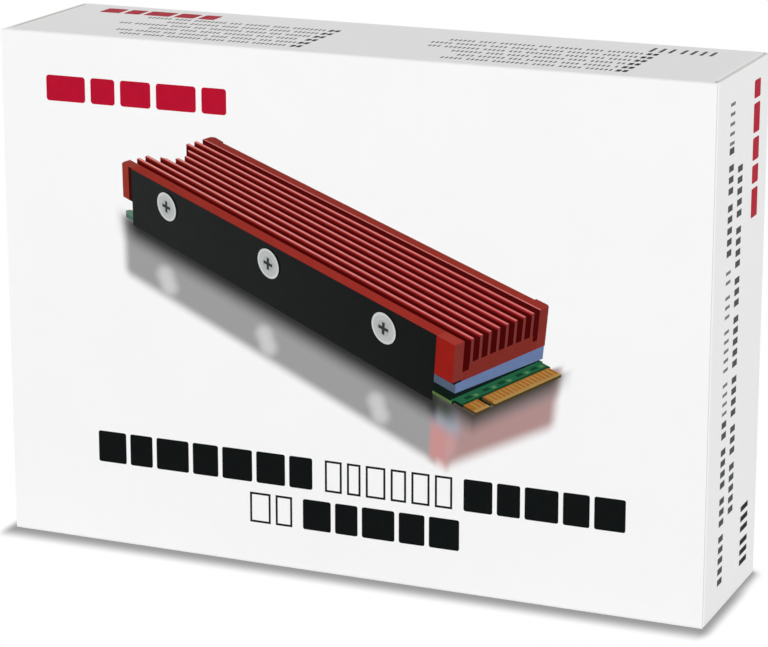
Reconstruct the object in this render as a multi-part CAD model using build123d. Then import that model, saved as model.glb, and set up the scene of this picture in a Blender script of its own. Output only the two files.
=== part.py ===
from build123d import *
import os
from math import cos, radians, sin

# A landscape folding carton for a small cooler kit, standing upright on its long bottom panel.
# One sheet of board makes a tube (front, top, back and bottom panels, with a glue flap inside the back),
# four dust flaps and two tuck lids. Each lid turns on a crease at the back panel's end, and its tuck flap
# goes in behind the front panel. Inside, a foam tray holds a finned solid state drive cooler and its driver,
# and a folded leaflet stands in front of the tray.
# Millimetres. +X runs to the right along the front, +Y from the front to the back, and +Z up.
# The origin is the centre of the underside.

# Carton
WIDTH = 120.0
HEIGHT = 85.0
DEPTH = 28.0
BOARD = 0.45  # thickness of the board
FOLD = 0.55  # outer radius of a fold
SEAM_GAP = 0.3  # height of the back panel's raw lower edge
GLUE_FLAP = 16.0  # height that the glue flap reaches inside the back panel

# Dust flaps
DUST_LENGTH = 30.0
DUST_BEHIND_LID = 0.2  # room between a dust flap and the lid over it
DUST_FRONT_INSET = 2.6  # clears the tuck flap
DUST_BACK_INSET = 1.3  # clears the glue flap
DUST_FRONT_TAPER = 5.0
DUST_BACK_TAPER = 1.5
DUST_CORNER = 5.0

# Tuck lids, of the same board
LID_INSET = 0.12  # lid edge below the top of the carton, and above its bottom
TUCK_INSET = 0.25  # tuck flap edge below the top panel, and above the bottom panel
TUCK_LENGTH = 12.5
TUCK_LEAN = radians(13.5)  # how far the tuck flap leans in, off the front panel
TUCK_GAP = 0.2  # room between the lid's fold and the front panel
TUCK_SHOULDER = 1.2
TUCK_CORNER = 9.0
LOCK_SLIT = 0.35
LOCK_LENGTH = 6.0
LOCK_OFFSET = 1.0  # from the lid's fold to the slit

# Foam tray
TRAY_LENGTH = 116.5
TRAY_HEIGHT = 83.0
TRAY_FRONT = -9.6
TRAY_BACK = 12.9
TRAY_ROUND = 1.5
POCKET_ROUND = 2.0
COOLER_Z = 55.0  # height of the cooler's middle
DRIVER_Z = 19.0  # height of the driver's middle

# Cooler, in its own frame: length along X, width along Y, fins up, origin under the middle of its channel
CHANNEL_LENGTH = 70.0
CHANNEL_WIDTH = 23.6
CHANNEL_WALL = 0.8
CHANNEL_SIDE = 10.35
LOWER_PAD = (66.0, 20.0, 0.5)
DRIVE_SLOT = 1.4  # room that the pads leave for the drive
UPPER_PAD = (76.0, 21.4, 1.5)
BLOCK_LENGTH = 76.2
BLOCK_HEIGHT = 6.6
BLOCK_CLEARANCE = 0.1  # between the block and the channel
FIN_SLOTS = 9
FIN_PITCH = 2.13
FIN_GAP = 1.15
INNER_SLOT_DEPTH = 3.95
OUTER_SLOT_DEPTH = 5.0  # of the slot beside each thick side wall
SLOT_ROUND = 0.2
NOTCH_RADIUS = 4.0  # at the end where the drive's own screw is
SCREW_PITCH = 25.1
SCREW_COUNT = 3
SCREW_HEIGHT = 7.6
SCREW_HEAD_RADIUS = 2.5
SCREW_HEAD = 0.9
SCREW_RADIUS = 0.95
SCREW_SHANK = 2.6
SCREW_FIT = 0.05
CROSS_LENGTH = 2.2
CROSS_WIDTH = 0.55
CROSS_DEPTH = 0.45
POCKET_FIT = 0.6

# Driver, in its own frame: along X, its middle at the origin
HANDLE_LENGTH = 34.0
HANDLE_RADIUS = 4.0
HANDLE_GROOVES = 6
HANDLE_ROUND = 1.0
GROOVE_RADIUS = 0.7
GROOVE_LENGTH = 24.0
BLADE_LENGTH = 33.0
BLADE_RADIUS = 1.3
BLADE_TIP = 4.0
BLADE_END_RADIUS = 0.5
POINT_FLUTES = 4
POINT_RIB = 0.7  # thickness of the point's cross
SOCKET_DEPTH = 8.0

# Leaflet
LEAF_WIDTH = 86.0
LEAF_HEIGHT = 70.0
LEAF_PAPER = 0.12
LEAF_PITCH = 0.26
LEAF_FOLD = 0.125  # middle radius of the paper's folds
LEAF_LAYERS = 4
LEAF_FRONT = -13.1

LID_MIDDLE = WIDTH / 2 - BOARD / 2
BACK_MIDDLE = DEPTH / 2 - BOARD / 2
TUBE_END = WIDTH / 2 - BOARD - DUST_BEHIND_LID
BLOCK_BOTTOM = CHANNEL_WALL + LOWER_PAD[2] + DRIVE_SLOT + UPPER_PAD[2]
BLOCK_TOP = BLOCK_BOTTOM + BLOCK_HEIGHT


def solid_box(x, y, z):
    """A box from three (low, high) ranges."""
    corner = Vector(x[0], y[0], z[0])
    size = Vector(x[1] - x[0], y[1] - y[0], z[1] - z[0])
    return Pos(corner + size / 2) * Box(size.X, size.Y, size.Z)


def folded_sheet(points, plane, low, high, thickness=BOARD, radius=FOLD - BOARD / 2):
    """A sheet that follows points in a plane, with rounded folds, from low to high along the plane's normal."""
    middle_line = FilletPolyline(*points, radius=radius)
    profile = trace(middle_line, line_width=thickness)
    return extrude(plane.offset(low) * profile, amount=high - low, dir=plane.z_dir)


def dust_flap():
    """The upper right dust flap with its fold, and the strip of the top panel that the fold takes the place of."""
    front = -DEPTH / 2 + DUST_FRONT_INSET
    back = DEPTH / 2 - DUST_BACK_INSET
    fold_start = TUBE_END - FOLD
    fold_profile = trace(CenterArc((fold_start, HEIGHT - FOLD), FOLD - BOARD / 2, 0, 90), line_width=BOARD)
    # Plane.XZ looks along -Y, so its own distances are the negatives of the carton's Y.
    fold = extrude(Plane.XZ.offset(-back) * fold_profile, amount=back - front)
    free_edge = HEIGHT - DUST_LENGTH
    outline = Polyline(
        (front, HEIGHT - FOLD),
        (back, HEIGHT - FOLD),
        (back - DUST_BACK_TAPER, free_edge),
        (front + DUST_FRONT_TAPER, free_edge),
        close=True,
    )
    face = make_face(outline)
    face = fillet(face.vertices().sort_by(Axis.Y)[:2], DUST_CORNER)
    flap = extrude(Plane.YZ.offset(TUBE_END - BOARD) * face, amount=BOARD)
    freed_strip = solid_box((fold_start, TUBE_END), (front, back), (HEIGHT - BOARD, HEIGHT))
    return fold + flap, freed_strip


def at_four_corners(shape):
    """The upper right shape and its mirror images at the panels' other three ends."""
    upper = [shape, mirror(shape, about=Plane.YZ)]
    middle_height = Plane.XY.offset(HEIGHT / 2)
    return upper + [mirror(each, about=middle_height) for each in upper]


def carton_sleeve():
    """The tube of four panels with its glue flap and four dust flaps, all one folded sheet."""
    bottom_middle = (0, BOARD / 2)
    panel_points = [
        (BACK_MIDDLE, SEAM_GAP),
        (BACK_MIDDLE, HEIGHT - BOARD / 2),
        (-BACK_MIDDLE, HEIGHT - BOARD / 2),
        (-BACK_MIDDLE, BOARD / 2),
        bottom_middle,
    ]
    glue_flap_points = [
        bottom_middle,
        (BACK_MIDDLE - BOARD, BOARD / 2),
        (BACK_MIDDLE - BOARD, GLUE_FLAP),
    ]
    sleeve = folded_sheet(panel_points, Plane.YZ, -WIDTH / 2, WIDTH / 2)
    sleeve += folded_sheet(glue_flap_points, Plane.YZ, -WIDTH / 2, WIDTH / 2)
    lid_room = solid_box((TUBE_END, WIDTH / 2), (-DEPTH / 2 + BOARD, DEPTH / 2), (0, HEIGHT))
    flap, freed_strip = dust_flap()
    sleeve -= [lid_room, mirror(lid_room, about=Plane.YZ)]
    sleeve -= at_four_corners(freed_strip)
    return sleeve + at_four_corners(flap)


def tuck_lid():
    """The right lid: its panel, the round hinge edge, the fold and the tuck flap behind the front panel."""
    low, high = LID_INSET, HEIGHT - LID_INSET
    corner = Vector(LID_MIDDLE, -DEPTH / 2 + BOARD + TUCK_GAP + BOARD / 2)
    inward = Vector(-cos(TUCK_LEAN), sin(TUCK_LEAN))
    tip = corner + inward * TUCK_LENGTH
    hinge = Vector(LID_MIDDLE, BACK_MIDDLE)
    points = [(hinge.X, hinge.Y), (corner.X, corner.Y), (tip.X, tip.Y)]
    lid = folded_sheet(points, Plane.XY, low, high)
    edge = Pos(hinge.X, hinge.Y, HEIGHT / 2) * Cylinder(BOARD / 2, high - low)
    lid = lid + edge

    inside = (0, WIDTH / 2 - BOARD)
    across = (-DEPTH / 2, DEPTH / 2)
    tuck_low, tuck_high = BOARD + TUCK_INSET, HEIGHT - BOARD - TUCK_INSET
    lid -= solid_box(inside, across, (0, tuck_low))
    lid -= solid_box(inside, across, (tuck_high, HEIGHT))

    # In the tuck flap's own plane, X runs from the fold to the tip and Y runs up.
    flap_plane = Plane(
        origin=(corner.X, corner.Y, HEIGHT / 2), x_dir=inward, z_dir=inward.cross(Vector(0, 0, 1))
    )
    half_height = (tuck_high - tuck_low) / 2
    reach = TUCK_LENGTH + BOARD
    kept = Pos(reach / 2, 0) * Rectangle(reach + BOARD, 2 * (half_height - TUCK_SHOULDER))
    kept = fillet(kept.vertices().sort_by(Axis.X)[-2:], TUCK_CORNER)
    around = Pos(LOCK_OFFSET + reach / 2, 0) * Rectangle(reach, 2 * half_height + BOARD)
    trimmed = extrude(flap_plane * (around - kept), amount=BOARD, both=True)
    lid = lid - trimmed
    for side in (1, -1):
        slit = Pos(LOCK_OFFSET + LOCK_SLIT / 2, side * (half_height - LOCK_LENGTH / 2)) * Rectangle(
            LOCK_SLIT, LOCK_LENGTH
        )
        lid = lid - extrude(flap_plane * slit, amount=BOARD, both=True)
    return lid


def pocket(length, height, depth, level):
    """A round-cornered pocket sunk into the tray from its front, centred at a height."""
    outline = RectangleRounded(length, height, POCKET_ROUND)
    front_plane = Plane(origin=(0, TRAY_FRONT, level), x_dir=(1, 0, 0), z_dir=(0, -1, 0))
    return extrude(front_plane * outline, amount=-depth)


def cooler_pocket_depth():
    """A little deeper than the cooler is high, so that its fins lie just below the tray's front."""
    return BLOCK_TOP + POCKET_FIT


def driver_length():
    return HANDLE_LENGTH + BLADE_LENGTH


def foam_tray():
    """A die-cut foam block with one pocket for the cooler and one for the driver."""
    block = solid_box(
        (-TRAY_LENGTH / 2, TRAY_LENGTH / 2), (TRAY_FRONT, TRAY_BACK), (BOARD, BOARD + TRAY_HEIGHT)
    )
    block = fillet(block.edges().filter_by(Axis.X), TRAY_ROUND)
    cooler_width = CHANNEL_WIDTH + 2 * SCREW_HEAD + 2 * POCKET_FIT
    block -= pocket(BLOCK_LENGTH + 2 * POCKET_FIT, cooler_width, cooler_pocket_depth(), COOLER_Z)
    driver_depth = 2 * HANDLE_RADIUS + POCKET_FIT
    driver_width = 2 * (HANDLE_RADIUS + POCKET_FIT)
    return block - pocket(driver_length() + 2 * POCKET_FIT, driver_width, driver_depth, DRIVER_Z)


def screw_places():
    """Each side screw's place on the channel's outside, as (x, side)."""
    first = -SCREW_PITCH * (SCREW_COUNT - 1) / 2
    return [(first + SCREW_PITCH * i, side) for side in (1, -1) for i in range(SCREW_COUNT)]


def side_frame(x, side):
    """A frame on the channel's outside at one screw, with its Z pointing out of the side."""
    return Plane(origin=(x, side * CHANNEL_WIDTH / 2, SCREW_HEIGHT), x_dir=(1, 0, 0), z_dir=(0, side, 0))


def base_channel():
    """The black channel of bent aluminium sheet under the cooler, with three holes in each side."""
    middle = CHANNEL_WIDTH / 2 - CHANNEL_WALL / 2
    points = [
        (-middle, CHANNEL_SIDE),
        (-middle, CHANNEL_WALL / 2),
        (middle, CHANNEL_WALL / 2),
        (middle, CHANNEL_SIDE),
    ]
    half = CHANNEL_LENGTH / 2
    channel = folded_sheet(points, Plane.YZ, -half, half, CHANNEL_WALL, CHANNEL_WALL)
    for x, side in screw_places():
        hole = Circle(SCREW_RADIUS + 2 * SCREW_FIT)
        channel -= extrude(side_frame(x, side) * hole, amount=-2 * CHANNEL_WALL)
    return channel


def fin_block():
    """The red finned extrusion. A ledge along each side covers the channel's edge, between two full-width ends."""
    half_length, half_width = BLOCK_LENGTH / 2, CHANNEL_WIDTH / 2
    along, across = (-half_length, half_length), (-half_width, half_width)
    block = solid_box(along, across, (BLOCK_BOTTOM, BLOCK_TOP))
    recess_along = CHANNEL_LENGTH / 2 + BLOCK_CLEARANCE
    recess_start = half_width - CHANNEL_WALL - BLOCK_CLEARANCE
    recess_top = CHANNEL_SIDE + BLOCK_CLEARANCE
    for near, far in ((-half_width, -recess_start), (recess_start, half_width)):
        block -= solid_box((-recess_along, recess_along), (near, far), (BLOCK_BOTTOM, recess_top))
    for i in range(FIN_SLOTS):
        y = FIN_PITCH * (i - (FIN_SLOTS - 1) / 2)
        depth = OUTER_SLOT_DEPTH if i in (0, FIN_SLOTS - 1) else INNER_SLOT_DEPTH
        slot = solid_box(along, (y - FIN_GAP / 2, y + FIN_GAP / 2), (BLOCK_TOP - depth, BLOCK_TOP))
        floor_edges = slot.edges().filter_by(Axis.X).group_by(Axis.Z)[0]
        block -= fillet(floor_edges, SLOT_ROUND)
    notch = Cylinder(NOTCH_RADIUS, BLOCK_HEIGHT)
    block -= Pos(-half_length, 0, BLOCK_BOTTOM + BLOCK_HEIGHT / 2) * notch
    for x, side in screw_places():
        hole = Circle(SCREW_RADIUS + SCREW_FIT)
        block -= extrude(side_frame(x, side) * hole, amount=-(SCREW_SHANK + SCREW_FIT))
    return block


def side_screws():
    """Six cross-head screws with wide flat heads, three on each side of the cooler."""
    screws = []
    for x, side in screw_places():
        outside = side_frame(x, side)
        head = extrude(outside * Circle(SCREW_HEAD_RADIUS), amount=SCREW_HEAD)
        rim = head.edges().filter_by(GeomType.CIRCLE).sort_by(Axis.Y)[-1 if side > 0 else 0]
        head = fillet(rim, SCREW_HEAD / 3)
        shank = extrude(outside * Circle(SCREW_RADIUS), amount=-SCREW_SHANK)
        recess_plane = outside.offset(SCREW_HEAD - CROSS_DEPTH)
        cross = Rectangle(CROSS_LENGTH, CROSS_WIDTH) + Rectangle(CROSS_WIDTH, CROSS_LENGTH)
        screws.append(head + shank - extrude(recess_plane * cross, amount=CROSS_DEPTH))
    return screws


def pad(size, bottom):
    """A flat thermal pad on a level of the cooler."""
    return Pos(0, 0, bottom + size[2] / 2) * Box(*size)


def driver_handle():
    """A small fluted plastic handle with a socket for the blade."""
    handle = Rot(0, 90, 0) * Cylinder(HANDLE_RADIUS, HANDLE_LENGTH)
    handle = fillet(handle.edges().filter_by(GeomType.CIRCLE), HANDLE_ROUND)
    for i in range(HANDLE_GROOVES):
        groove = Rot(0, 90, 0) * Cylinder(GROOVE_RADIUS, GROOVE_LENGTH)
        handle -= Rot(360 * (i + 0.5) / HANDLE_GROOVES, 0, 0) * Pos(0, 0, HANDLE_RADIUS) * groove
    socket = Rot(0, 90, 0) * Cylinder(BLADE_RADIUS, SOCKET_DEPTH)
    handle -= Pos((HANDLE_LENGTH - SOCKET_DEPTH) / 2, 0, 0) * socket
    return Pos((HANDLE_LENGTH - driver_length()) / 2, 0, 0) * handle


def driver_blade():
    """A round steel blade with a small cross point."""
    start = HANDLE_LENGTH - driver_length() / 2 - SOCKET_DEPTH
    end = driver_length() / 2
    outline = Polyline(
        (start, 0),
        (start, BLADE_RADIUS),
        (end - BLADE_TIP, BLADE_RADIUS),
        (end, BLADE_END_RADIUS),
        (end, 0),
        close=True,
    )
    blade = revolve(make_face(outline), Axis.X)
    beside_rib = (POINT_RIB / 2, BLADE_RADIUS)
    flute = solid_box((end - BLADE_TIP, end), beside_rib, beside_rib)
    for i in range(POINT_FLUTES):
        blade -= Rot(360 * i / POINT_FLUTES, 0, 0) * flute
    return blade


def leaflet():
    """A folded sheet of instructions, standing behind the front panel."""
    points = []
    for layer in range(LEAF_LAYERS):
        y = LEAF_FRONT + LEAF_PAPER / 2 + LEAF_PITCH * layer
        ends = [(-LEAF_WIDTH / 2, y), (LEAF_WIDTH / 2, y)]
        points += ends if layer % 2 == 0 else ends[::-1]
    return folded_sheet(points, Plane.XY, BOARD, BOARD + LEAF_HEIGHT, LEAF_PAPER, LEAF_FOLD)


def in_tray(shape, level, floor):
    """Turns a cooler or driver piece from its own frame to its place in the tray, with up towards the front."""
    return Pos(0, floor, level) * Rot(90, 0, 0) * shape


def main():
    os.makedirs("parts", exist_ok=True)
    right_lid = tuck_lid()
    cooler_floor = TRAY_FRONT + cooler_pocket_depth()
    driver_axis = TRAY_FRONT + POCKET_FIT + HANDLE_RADIUS
    lower_pad_level = CHANNEL_WALL
    upper_pad_level = BLOCK_BOTTOM - UPPER_PAD[2]
    nodes = {
        "carton_sleeve": carton_sleeve(),
        "right_tuck_lid": right_lid,
        "left_tuck_lid": mirror(right_lid, about=Plane.YZ),
        "foam_tray": foam_tray(),
        "leaflet": leaflet(),
        "base_channel": in_tray(base_channel(), COOLER_Z, cooler_floor),
        "fin_block": in_tray(fin_block(), COOLER_Z, cooler_floor),
        "lower_thermal_pad": in_tray(pad(LOWER_PAD, lower_pad_level), COOLER_Z, cooler_floor),
        "upper_thermal_pad": in_tray(pad(UPPER_PAD, upper_pad_level), COOLER_Z, cooler_floor),
        "side_screws": in_tray(Compound(side_screws()), COOLER_Z, cooler_floor),
        "driver_handle": in_tray(driver_handle(), DRIVER_Z, driver_axis),
        "driver_blade": in_tray(driver_blade(), DRIVER_Z, driver_axis),
    }
    for name, shape in nodes.items():
        export_step(shape, f"parts/{name}.step")


main()
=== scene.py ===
from math import cos, hypot, pi, radians, sin, sqrt

import bmesh
import bpy
from bpy.props import FloatProperty, FloatVectorProperty, IntProperty, PointerProperty
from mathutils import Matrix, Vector
from mathutils.geometry import delaunay_2d_cdt


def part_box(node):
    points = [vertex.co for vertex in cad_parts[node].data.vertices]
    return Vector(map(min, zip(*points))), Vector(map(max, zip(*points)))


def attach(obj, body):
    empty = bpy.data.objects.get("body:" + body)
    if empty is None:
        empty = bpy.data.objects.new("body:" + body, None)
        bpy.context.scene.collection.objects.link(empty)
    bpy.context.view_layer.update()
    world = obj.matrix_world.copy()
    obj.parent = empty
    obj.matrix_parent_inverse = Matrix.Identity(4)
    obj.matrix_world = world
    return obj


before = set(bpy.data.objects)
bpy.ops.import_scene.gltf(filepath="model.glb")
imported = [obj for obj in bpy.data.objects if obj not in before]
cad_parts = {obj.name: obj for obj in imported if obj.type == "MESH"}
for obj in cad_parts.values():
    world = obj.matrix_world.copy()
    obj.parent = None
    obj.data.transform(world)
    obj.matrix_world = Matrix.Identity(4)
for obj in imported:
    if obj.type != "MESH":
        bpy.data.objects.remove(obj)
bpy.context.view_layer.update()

bl_info = {
    "name": "Drive Cooler Carton",
    "version": (1, 0, 0),
    "blender": (4, 5, 0),
    "location": "View3D > Sidebar > Carton",
    "description": "Prints and finishes a folding carton and lights it in a plain studio",
    "category": "Object",
}

MM = 0.001
_, SLEEVE_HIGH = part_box("carton_sleeve")
HALF_LENGTH = SLEEVE_HIGH.x
HALF_DEPTH = SLEEVE_HIGH.y
HEIGHT = SLEEVE_HIGH.z
BOARD = 0.45 * MM


def shade(code):
    """A linear colour from the usual six-figure colour code."""
    parts = [int(code[i : i + 2], 16) / 255 for i in (0, 2, 4)]
    return tuple(p / 12.92 if p <= 0.04045 else ((p + 0.055) / 1.055) ** 2.4 for p in parts)


def colour_setting(name, description, code):
    return FloatVectorProperty(
        name=name, description=description, default=shade(code), size=3, min=0, max=1, subtype="COLOR"
    )


def length_setting(name, description, default):
    return FloatProperty(name=name, description=description, default=default, unit="LENGTH", precision=5)


def angle_setting(name, description, default):
    return FloatProperty(name=name, description=description, default=radians(default), unit="ROTATION")


# Settings


class CartonBoardSettings(bpy.types.PropertyGroup):
    coated: colour_setting("Coated side", "White coating on the outside of the board", "F6F6F6")
    plain: colour_setting("Plain side", "Uncoated inside of the board", "DDD9D0")
    core: colour_setting("Raw edge", "Cut edge of the board", "F1F0EC")
    fibre_length: length_setting("Fibre length", "Size of the fibres on the plain side", 0.9 * MM)
    crease_width: length_setting("Crease width", "Width of the slight sheen along a fold", 1.1 * MM)
    gloss: FloatProperty(name="Roughness", description="0 is a mirror", default=0.56, min=0, max=1)


class CartonPrintSettings(bpy.types.PropertyGroup):
    ink: length_setting("Ink thickness", "How far the ink stands off the board", 0.012 * MM)
    black: colour_setting("Black ink", "Bold headings", "101313")
    thin_black: colour_setting("Light black ink", "Thin headings", "1E2122")
    grey: colour_setting("Grey ink", "Small bars", "4A4B4C")
    soft_grey: colour_setting("Soft grey ink", "The lightest bars", "77787A")
    red: colour_setting("Red ink", "The emblem's row of blocks", "B5122F")
    block_gap: length_setting("Block gap", "Room between the blocks of a heading", 0.75 * MM)
    corner: length_setting("Block corner", "Corner radius of a heading block", 0.35 * MM)


class CartonPictureSettings(bpy.types.PropertyGroup):
    azimuth: angle_setting("Azimuth", "Side from which the pictured cooler is seen", 41.48)
    elevation: angle_setting("Elevation", "Height from which the pictured cooler is seen", 24.73)
    roll: angle_setting("Roll", "Turn of the picture on the panel", -1.97)
    distance: FloatProperty(name="Distance", description="Viewing distance in millimetres", default=296.0)
    zoom: FloatProperty(name="Zoom", description="Picture distance in millimetres", default=297.9)
    centre_x: FloatProperty(name="Centre X", description="Place on the panel in millimetres", default=-3.91)
    centre_z: FloatProperty(name="Centre Z", description="Place on the panel in millimetres", default=52.69)
    ink: length_setting("Ink thickness", "How far the picture stands off the board", 0.02 * MM)
    fins: IntProperty(name="Fins", description="Fins between the two side walls", default=8)


class CartonKitSettings(bpy.types.PropertyGroup):
    foam: colour_setting("Foam", "Tray", "2B2B2D")
    paper: colour_setting("Paper", "Leaflet", "EDECE6")
    black_metal: colour_setting("Black coating", "Channel", "18191B")
    red_metal: colour_setting("Red coating", "Fin block", "B01A17")
    silicone: colour_setting("Silicone", "Thermal pads", "8FA0D0")
    steel: colour_setting("Steel", "Screws and blade", "C9C9CB")
    plastic: colour_setting("Plastic", "Driver handle", "202124")


class CartonStudioSettings(bpy.types.PropertyGroup):
    sky: FloatProperty(name="Sky strength", description="Even light from all round", default=0.662, min=0)
    lamp: FloatProperty(name="Lamp strength", description="Lamp at the front right", default=1.66, min=0)
    lamp_azimuth: angle_setting("Lamp azimuth", "From the front towards the right", 30.5)
    lamp_elevation: angle_setting("Lamp elevation", "Above the floor", 5)
    lens: FloatProperty(name="Lens", description="Focal length in millimetres", default=138.97)
    front_shadow: length_setting("Front shadow", "Width of the soft shadow before the carton", 5.5 * MM)
    side_shadow: length_setting("Side shadow", "Width of the soft shadow beside the carton", 2.5 * MM)


def varied(colour, factor):
    return tuple(min(1.0, c * factor) for c in colour)


# Small tools for node materials

# The fourth axis of a noise, which stays unused
NO_SHIFT = 0


class Tree:
    """A node tree being filled."""

    def __init__(self, tree):
        self.tree = tree

    def node(self, kind, **settings):
        made = self.tree.nodes.new(kind)
        for name, value in settings.items():
            setattr(made, name, value)
        return made

    def plug(self, socket, value):
        """Links an output to an input, or sets the input to a constant."""
        if isinstance(value, bpy.types.NodeSocket):
            self.tree.links.new(value, socket)
        elif isinstance(value, (tuple, list, Vector)) and socket.type == "RGBA":
            socket.default_value = (*value[:3], 1)
        else:
            socket.default_value = value

    def made(self, kind, *values, output=0, **settings):
        """One output of a new node whose first inputs take the values."""
        node = self.node(kind, **settings)
        for socket, value in zip(node.inputs, values):
            self.plug(socket, value)
        return node.outputs[output]

    def sum(self, operation, first, second=0.0, clamp=False):
        return self.made("ShaderNodeMath", first, second, operation=operation, use_clamp=clamp)

    def seen(self, shader, direct_shader):
        """A shader for light on its way round, and another for what is seen directly, in a mirror or
        through glass."""
        path = self.node("ShaderNodeLightPath").outputs
        direct = path["Is Camera Ray"]
        for name in ("Is Glossy Ray", "Is Transmission Ray"):
            direct = self.sum("MAXIMUM", direct, path[name])
        return self.made("ShaderNodeMixShader", direct, shader, direct_shader)


class Finish(Tree):
    """A node material being made, with its Principled shader."""

    def __init__(self, name):
        self.material = bpy.data.materials.new(name)
        self.material.use_nodes = True
        super().__init__(self.material.node_tree)
        self.shader = self.tree.nodes["Principled BSDF"]
        self.place = self.node("ShaderNodeTexCoord").outputs["Object"]

    def set(self, **values):
        """Shader inputs by name, with underscores for spaces."""
        for name, value in values.items():
            self.plug(self.shader.inputs[name.replace("_", " ")], value)

    def vector(self, operation, first, second, output="Value"):
        return self.made("ShaderNodeVectorMath", first, second, output=output, operation=operation)

    def axes(self, vector):
        made = self.node("ShaderNodeSeparateXYZ")
        self.plug(made.inputs[0], vector)
        return made.outputs

    def span(self, value, low, high, start=0.0, end=1.0, smooth=False):
        """start below low, end above high, and in between a straight or smooth rise."""
        rise = "SMOOTHSTEP" if smooth else "LINEAR"
        return self.made("ShaderNodeMapRange", value, low, high, start, end, interpolation_type=rise)

    def mix(self, amount, first, second):
        """A colour between two others. The node's colour sockets come after those of its other kinds."""
        made = self.node("ShaderNodeMix", data_type="RGBA")
        for number, value in ((0, amount), (6, first), (7, second)):
            self.plug(made.inputs[number], value)
        return made.outputs[2]

    def scaled(self, colour, factor):
        """A colour made brighter or darker by a factor."""
        made = self.node("ShaderNodeVectorMath", operation="SCALE")
        self.plug(made.inputs[0], colour)
        self.plug(made.inputs["Scale"], factor)
        return made.outputs["Vector"]

    def noise(self, size, detail=2.0, roughness=0.5, stretch=(1, 1, 1)):
        """Soft noise with spots about size metres across, longer along an axis whose stretch is over 1."""
        scaled = self.vector("MULTIPLY", self.place, tuple(1 / (size * s) for s in stretch), "Vector")
        return self.made("ShaderNodeTexNoise", scaled, NO_SHIFT, 1, detail, roughness)

    def cells(self, size):
        scaled = self.vector("MULTIPLY", self.place, (1 / size,) * 3, "Vector")
        return self.made("ShaderNodeTexVoronoi", scaled, NO_SHIFT, 1)

    def bump(self, height, depth, strength=1.0, under=None):
        made = self.node("ShaderNodeBump")
        self.plug(made.inputs["Height"], height)
        made.inputs["Distance"].default_value = depth
        made.inputs["Strength"].default_value = strength
        if under is not None:
            self.plug(made.inputs["Normal"], under)
        return made.outputs["Normal"]

    def between(self, amount, colour, low, high):
        """A colour that goes from a darker or lighter factor of itself to another."""
        return self.mix(amount, varied(colour, low), varied(colour, high))

    def coat(self, colour, roughness, bump, **more):
        """Finishes the shader with a colour, a roughness as span takes it, a relief as bump takes it and
        any more inputs, and returns the material."""
        self.set(Base_Color=colour, Roughness=self.span(*roughness), Normal=self.bump(*bump), **more)
        return self.material


def add_object(name, data):
    made = bpy.data.objects.new(name, data)
    bpy.context.scene.collection.objects.link(made)
    return made


def dress(node_name, material):
    """Puts one material in every slot of a CAD node."""
    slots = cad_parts[node_name].data.materials
    slots.clear()
    slots.append(material)


# Board

COAT_SPECULAR = 0.25
INK_SPECULAR = 0.02
# The grain of the white coating, as its depth and strength
COAT_GRAIN = (0.004 * MM, 0.35)


def coating(finish, board):
    """The white coated side, faintly cloudy with a fine grain: its colour, grain and cloud."""
    cloud = finish.noise(14 * MM, 3)
    grain = finish.noise(0.25 * MM, 2)
    tone = finish.span(cloud, 0.3, 0.7)
    colour = finish.between(tone, board.coated, 0.988, 1)
    speck = finish.span(grain, 0.62, 0.8)
    colour = finish.mix(finish.sum("MULTIPLY", speck, 0.12), colour, varied(board.coated, 0.93))
    return colour, grain, cloud


def board_material(name, board, raw_edge):
    """Coated outside, plain fibrous inside and pale raw edges, told apart by which way the board faces.
    raw_edge gives the share of raw edge from the finish's place and facing."""
    finish = Finish(name)
    facing = finish.node("ShaderNodeTexCoord").outputs["Normal"]
    centred = finish.vector("SUBTRACT", finish.place, (0, 0, HEIGHT / 2), "Vector")
    outward = finish.vector("DOT_PRODUCT", centred, facing)
    outside = finish.span(outward, 0, 0.4 * MM)

    white, grain, cloud = coating(finish, board)
    fibres = finish.noise(board.fibre_length / 6, 4, 0.6, stretch=(5, 1, 2))
    flecks = finish.span(finish.noise(0.5 * MM, 2, 0.5, stretch=(3, 1, 1)), 0.64, 0.72)
    plain = finish.between(fibres, board.plain, 0.86, 1.06)
    plain = finish.mix(finish.sum("MULTIPLY", flecks, 0.35), plain, varied(board.plain, 0.62))
    colour = finish.mix(outside, plain, white)
    layers = finish.noise(0.06 * MM, 3, 0.6, stretch=(6, 6, 6))
    raw = raw_edge(finish, finish.axes(finish.place), finish.axes(facing))
    colour = finish.mix(raw, colour, finish.between(layers, board.core, 0.86, 1))

    fold = fold_nearness(finish, board)
    smooth = finish.span(cloud, 0.2, 0.8, board.gloss - 0.04, board.gloss + 0.04)
    smooth = finish.sum("SUBTRACT", smooth, finish.sum("MULTIPLY", fold, 0.06))
    rough = finish.span(outside, 0, 1, 0.9, smooth)
    rough = finish.span(raw, 0, 1, rough, 0.95)
    plain_side = finish.sum("SUBTRACT", 1.0, outside)
    fibre_height = finish.sum("MULTIPLY", fibres, plain_side)
    finish.set(
        Base_Color=colour,
        Roughness=rough,
        Normal=finish.bump(fibre_height, 0.03 * MM, 0.6, finish.bump(grain, *COAT_GRAIN)),
        Specular_IOR_Level=COAT_SPECULAR,
    )
    return finish.material


def off_middle(finish, place):
    """How far a place is above or below the carton's middle."""
    return finish.sum("ABSOLUTE", finish.sum("SUBTRACT", place["Z"], HEIGHT / 2))


def fold_nearness(finish, board):
    """1 on the long folds at the front and back edges of the top and bottom, 0 away from them."""
    place = finish.axes(finish.place)
    across = finish.sum("SUBTRACT", HALF_DEPTH, finish.sum("ABSOLUTE", place["Y"]))
    up = finish.sum("SUBTRACT", HEIGHT / 2, off_middle(finish, place))
    corner = finish.sum("MAXIMUM", across, up)
    return finish.span(corner, 0, board.crease_width, 1, 0, smooth=True)


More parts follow.
